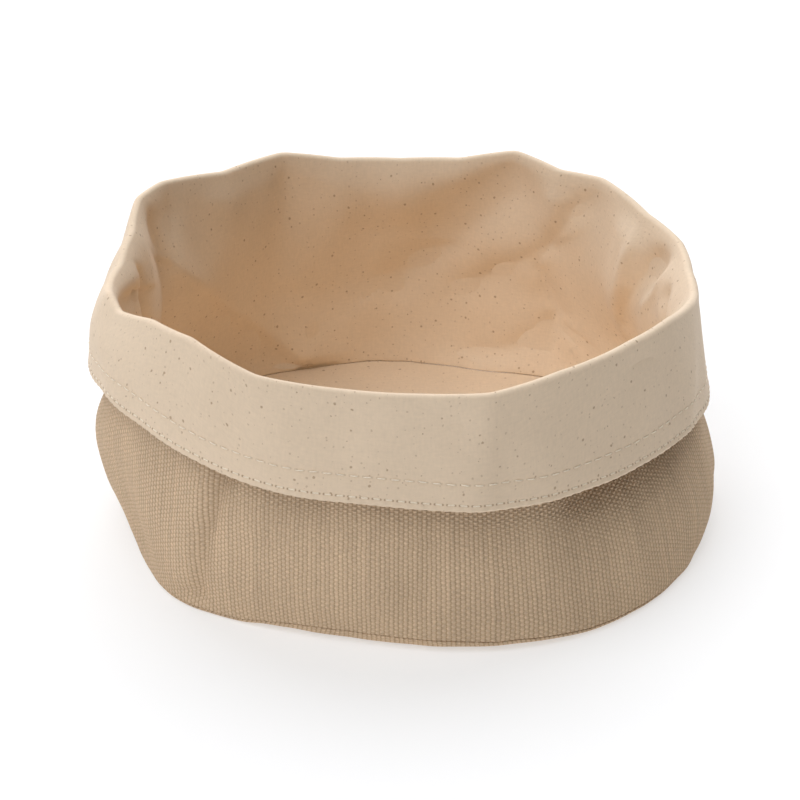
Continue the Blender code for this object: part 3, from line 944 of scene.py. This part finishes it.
def stitch_row(name, face, row, count, half, sunk, material):
    """A row of dashes of thread, on a row of the cloth's face. Each is a rod of this half
    width, thinner at its ends, that bends down into the cloth there: at t from its middle,
    with 1 at its ends, it stands almost as high as a half circle does, less the share of
    its half width that it is sunk. Its place is taken evenly from the cloth's grid."""
    rng = np.random.default_rng(count)
    t = np.linspace(-1, 1, STITCH_RINGS)
    slack = rng.uniform(*DASH_LENGTHS, (count, 1))
    share = (np.arange(count)[:, None] + t * slack * DASH_SHARE / 2) / count
    stray, slant = rng.normal(0, DASH_STRAY, (count, 1)), rng.normal(0, DASH_SLANT, (count, 1))
    column, level = (share % 1) * AROUND, row + stray + t * slant
    i, j = np.floor(column).astype(int), np.floor(level).astype(int)
    u, v = (column - i)[..., None], (level - j)[..., None]
    i, after = i % AROUND, (i + 1) % AROUND

    def between(grid):
        low = grid[i, j] * (1 - u) + grid[after, j] * u
        high = grid[i, j + 1] * (1 - u) + grid[after, j + 1] * u
        return low * (1 - v) + high * v

    up = unit(between(frame_of(face)[1]))
    rise = half * (DASH_ARCH * np.sqrt(1 - (0.98 * t) ** 2) - sunk)
    middle = between(face) + up * rise[None, :, None]
    way = unit(np.gradient(middle, axis=1))
    side = unit(np.cross(up, way))
    top = np.cross(way, side)
    size = half * (DASH_ENDS + (1 - DASH_ENDS) * np.sqrt(1 - t**2))[None, :, None, None]
    turn = (2 * np.pi * np.arange(STITCH_SIDES) / STITCH_SIDES)[:, None]
    round_it = side[:, :, None] * np.cos(turn) + DASH_DEPTH * top[:, :, None] * np.sin(turn)
    points = (middle[:, :, None] + size * round_it).reshape(-1, 3)
    start = (np.arange(count) * STITCH_RINGS * STITCH_SIDES)[:, None, None]
    ring_start = (np.arange(STITCH_RINGS - 1) * STITCH_SIDES)[:, None]
    at, after = np.arange(STITCH_SIDES), (np.arange(STITCH_SIDES) + 1) % STITCH_SIDES
    quads = stacked(at, after, after + STITCH_SIDES, at + STITCH_SIDES)
    faces = (start[..., None] + ring_start[..., None] + quads).reshape(-1, 4)
    first_cap = start[:, 0] + at[::-1]
    last_cap = start[:, 0] + at + (STITCH_RINGS - 1) * STITCH_SIDES
    loops = np.concatenate([faces.ravel(), first_cap.ravel(), last_cap.ravel()])
    everything = faces.tolist() + first_cap.tolist() + last_cap.tolist()
    places = stacked(loops // STITCH_SIDES, loops % STITCH_SIDES)
    maps = {"cloth": places * TWIST_STEPS * MM}
    return mesh_piece(name, points, everything, maps, material)


# ---- What a user may change ---------------------------------------------------------


class BreadBagCloths(bpy.types.PropertyGroup):
    canvas_colour: bpy.props.FloatVectorProperty(
        name="Canvas", description="Yarn of the outer canvas",
        subtype="COLOR", default=linear("E2C8A9"),
    )
    # Painted shade between the yarns, where the weave is low
    canvas_gap_shade: bpy.props.FloatVectorProperty(
        name="Canvas gaps", description="Between the yarns of the canvas",
        subtype="COLOR", default=linear("AC8A67"),
    )
    calico_colour: bpy.props.FloatVectorProperty(
        name="Calico", description="Lining and face of the cuff",
        subtype="COLOR", default=linear("EAD4B9"),
    )
    # Also the colour of the painted shade in the hem's needle holes
    fleck_and_hole_shade_colour: bpy.props.FloatVectorProperty(
        name="Seed flecks", description="Specks of cotton seed in the calico",
        subtype="COLOR", default=linear("8E6436"),
    )
    rib_spacing: bpy.props.FloatProperty(
        name="Rib spacing", description="From one canvas rib to the next",
        unit="LENGTH", default=1.6 * MM,
    )
    weft_spacing: bpy.props.FloatProperty(
        name="Weft spacing", description="From one canvas weft yarn to the next",
        unit="LENGTH", default=0.8 * MM,
    )


class BreadBagStitching(bpy.types.PropertyGroup):
    thread_colour: bpy.props.FloatVectorProperty(
        name="Thread", description="Sewing thread of the hem",
        subtype="COLOR", default=linear("FFF1DC"),
    )
    thread_width: bpy.props.FloatProperty(
        name="Thread width", description="Width of a stitch", unit="LENGTH", default=0.5 * MM
    )
    lower_count: bpy.props.IntProperty(
        name="Lower stitches", description="How many are in the lower row", default=176
    )
    upper_count: bpy.props.IntProperty(
        name="Upper stitches", description="How many are in the upper row", default=156
    )
    lower_row: bpy.props.FloatProperty(
        name="Lower row", description="Its height above the hem's edge",
        unit="LENGTH", default=1.35 * MM,
    )
    upper_row: bpy.props.FloatProperty(
        name="Upper row", description="Its height above the hem's edge",
        unit="LENGTH", default=8.6 * MM,
    )


class BreadBagStage(bpy.types.PropertyGroup):
    floor_colour: bpy.props.FloatVectorProperty(
        name="Floor", description="Top of the studio table",
        subtype="COLOR", default=linear("C4C4C4"),
    )
    floor_glow: bpy.props.FloatProperty(
        name="Floor glow", description="Light that comes up through the table", default=0.48
    )
    floor_size: bpy.props.FloatProperty(
        name="Floor size", description="Width of the table", unit="LENGTH", default=8.0
    )
    camera_elevation: bpy.props.FloatProperty(
        name="Elevation", description="Of the camera above the floor",
        subtype="ANGLE", default=math.radians(27),
    )
    camera_distance: bpy.props.FloatProperty(
        name="Distance", description="From the camera to its aim", unit="LENGTH", default=1.0
    )
    aim_height: bpy.props.FloatProperty(
        name="Aim height", description="Of the point that the camera looks at",
        unit="LENGTH", default=39 * MM,
    )
    lens: bpy.props.FloatProperty(
        name="Lens", description="Focal length in millimetres", default=122.4
    )


# ---- Operators ----------------------------------------------------------------------


class BREADBAG_OT_canvas_wall(bpy.types.Operator):
    """The outer wall, which goes over the rim and down inside the cuff"""

    bl_idname = "bread_bag.canvas_wall"
    bl_label = "Canvas Wall"

    def execute(self, context):
        canvas = material_of(duck_canvas, "Duck canvas")
        # From the hem to the seam, so that the faces point away from the calico
        points = wall_lines()
        lengths = length_along(points)[:, ::-1]
        thickness = CANVAS_THICKNESS * rounded(length_along(points), CANVAS_EDGE_ROUNDING)
        front = off(points, -LAYER_GAP - thickness)[:, ::-1]
        near = off(points, -LAYER_GAP)[:, ::-1]
        hem_row = points.shape[1] - 1
        kept = hem_row - hidden_rows(hem_row + 1, hem_row)[::-1]
        piece = band("canvas_outer_wall", front, near, kept, lengths, 0, canvas)
        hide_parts("canvas_wall")
        return {"FINISHED"}


class BREADBAG_OT_calico_wall(bpy.types.Operator):
    """The lining's wall, which folds over the rim and is the cuff's face"""

    bl_idname = "bread_bag.calico_wall"
    bl_label = "Calico Wall and Cuff"

    def execute(self, context):
        cotton = material_of(calico, "Unbleached calico")
        path, front, lengths, hem_row = calico_wall(context.scene.bread_bag_stitching)
        kept = hidden_rows(path.shape[1], hem_row)
        name, slot = "calico_inner_wall", "lining_cotton"
        piece = band(name, front, path, kept, lengths, hem_row, cotton)
        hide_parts("lining_wall")
        return {"FINISHED"}


class BREADBAG_OT_hem_stitches(bpy.types.Operator):
    """The two rows of stitches that hold the hem"""

    bl_idname = "bread_bag.hem_stitches"
    bl_label = "Hem Stitches"

    def execute(self, context):
        stitching = context.scene.bread_bag_stitching
        material = material_of(cotton_thread, "Cotton thread")
        face, hem_row = calico_wall(stitching)[1::2]
        step = HEM_TURN_UP / HEM_STEPS * MM
        for name, height, count, sunk in (
            ("hem_stitches_lower", stitching.lower_row, stitching.lower_count, 0.9),
            ("hem_stitches_upper", stitching.upper_row, stitching.upper_count, 0.3),
        ):
            row, half = hem_row - height / step, stitching.thread_width / 2
            stitch_row(name, face, row, count, half, sunk, material)
        return {"FINISHED"}


class BREADBAG_OT_bases(bpy.types.Operator):
    """The two rounds of the base, one on the other"""

    bl_idname = "bread_bag.bases"
    bl_label = "Bases"

    def execute(self, context):
        canvas = material_of(duck_canvas, "Duck canvas")
        points, to_edge = base_lines(CANVAS_SEAM_GAP)
        thickness = CANVAS_THICKNESS * rounded(to_edge, CANVAS_EDGE_ROUNDING)
        upper, lower = off(points, -LAYER_GAP), off(points, -LAYER_GAP - thickness)
        piece = round_piece("canvas_outer_base", upper, lower, canvas)
        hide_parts("canvas_base")

        cotton = material_of(calico, "Unbleached calico")
        points, to_edge = base_lines(CALICO_SEAM_GAP)
        low = CALICO_FACE - CALICO_THICKNESS
        thickness = CALICO_THICKNESS * rounded(to_edge, CALICO_EDGE_ROUNDING)
        upper, lower = off(points, low + thickness), off(points, low)
        piece = round_piece("calico_inner_base", upper, lower, cotton)
        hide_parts("lining_base")
        return {"FINISHED"}


class BREADBAG_OT_stage(bpy.types.Operator):
    """Floor, soft studio light and the photograph's camera"""

    bl_idname = "bread_bag.stage"
    bl_label = "Stage"

    def execute(self, context):
        stage = context.scene.bread_bag_stage
        half = stage.floor_size / 2
        mesh = bpy.data.meshes.new("floor")
        square = [(-half, -half, 0), (half, -half, 0), (half, half, 0), (-half, half, 0)]
        mesh.from_pydata(square, [], [(0, 1, 2, 3)])
        mesh.materials.append(opal_table(stage))
        floor = placed("floor", mesh)
        self.light(context)
        self.camera(context, stage)
        return {"FINISHED"}

    def light(self, context):
        """Wide suns that stand for large softboxes, and for the lit backdrop behind."""
        suns = (
            # name, bearing, elevation, width as an angle, strength, colour
            ("left softbox", 210, 50, 50, 1.35, (0.98, 1.0, 1.05)),
            ("top softbox", 270, 70, 60, 0.62, (1.0, 0.97, 0.91)),
            ("backdrop", 90, 45, 70, 2.8, (0.98, 1.0, 1.05)),
        )
        for name, bearing, elevation, width, strength, colour in suns:
            data = bpy.data.lights.new(name, "SUN")
            data.energy = strength
            data.color = colour
            data.angle = math.radians(width)
            turned = (math.radians(90 - elevation), 0, math.radians(bearing + 90))
            placed(name, data).rotation_euler = turned
        context.scene.view_settings.view_transform = "Standard"

    def camera(self, context, stage):
        data = bpy.data.cameras.new("camera")
        data.lens = stage.lens
        data.sensor_width = 36
        data.clip_end = 50
        camera = placed("camera", data)
        away, tilt = stage.camera_distance, stage.camera_elevation
        camera.location = (0, -away * math.cos(tilt), stage.aim_height + away * math.sin(tilt))
        camera.rotation_euler = (math.pi / 2 - tilt, 0, 0)
        context.scene.camera = camera


class BREADBAG_PT_panel(bpy.types.Panel):
    """Lists what builds the bag's pieces and the stage"""

    bl_idname = "BREADBAG_PT_panel"
    bl_label = "Bread Bag"
    bl_space_type = "VIEW_3D"
    bl_region_type = "UI"
    bl_category = "Bread Bag"

    def draw(self, context):
        for operator in OPERATORS:
            self.layout.operator(operator.bl_idname)


GROUPS = {
    "bread_bag_cloths": BreadBagCloths,
    "bread_bag_stitching": BreadBagStitching,
    "bread_bag_stage": BreadBagStage,
}
OPERATORS = (
    BREADBAG_OT_stage,
    BREADBAG_OT_canvas_wall,
    BREADBAG_OT_calico_wall,
    BREADBAG_OT_hem_stitches,
    BREADBAG_OT_bases,
)
CLASSES = (*GROUPS.values(), *OPERATORS, BREADBAG_PT_panel)


def register():
    for kind in CLASSES:
        bpy.utils.register_class(kind)
    for name, group in GROUPS.items():
        setattr(bpy.types.Scene, name, bpy.props.PointerProperty(type=group))


def unregister():
    for name in GROUPS:
        delattr(bpy.types.Scene, name)
    for kind in reversed(CLASSES):
        bpy.utils.unregister_class(kind)


def main():
    register()
    bpy.ops.bread_bag.stage()
    bpy.ops.bread_bag.canvas_wall()
    bpy.ops.bread_bag.calico_wall()
    bpy.ops.bread_bag.hem_stitches()
    bpy.ops.bread_bag.bases()


if __name__ == "__main__":
    main()
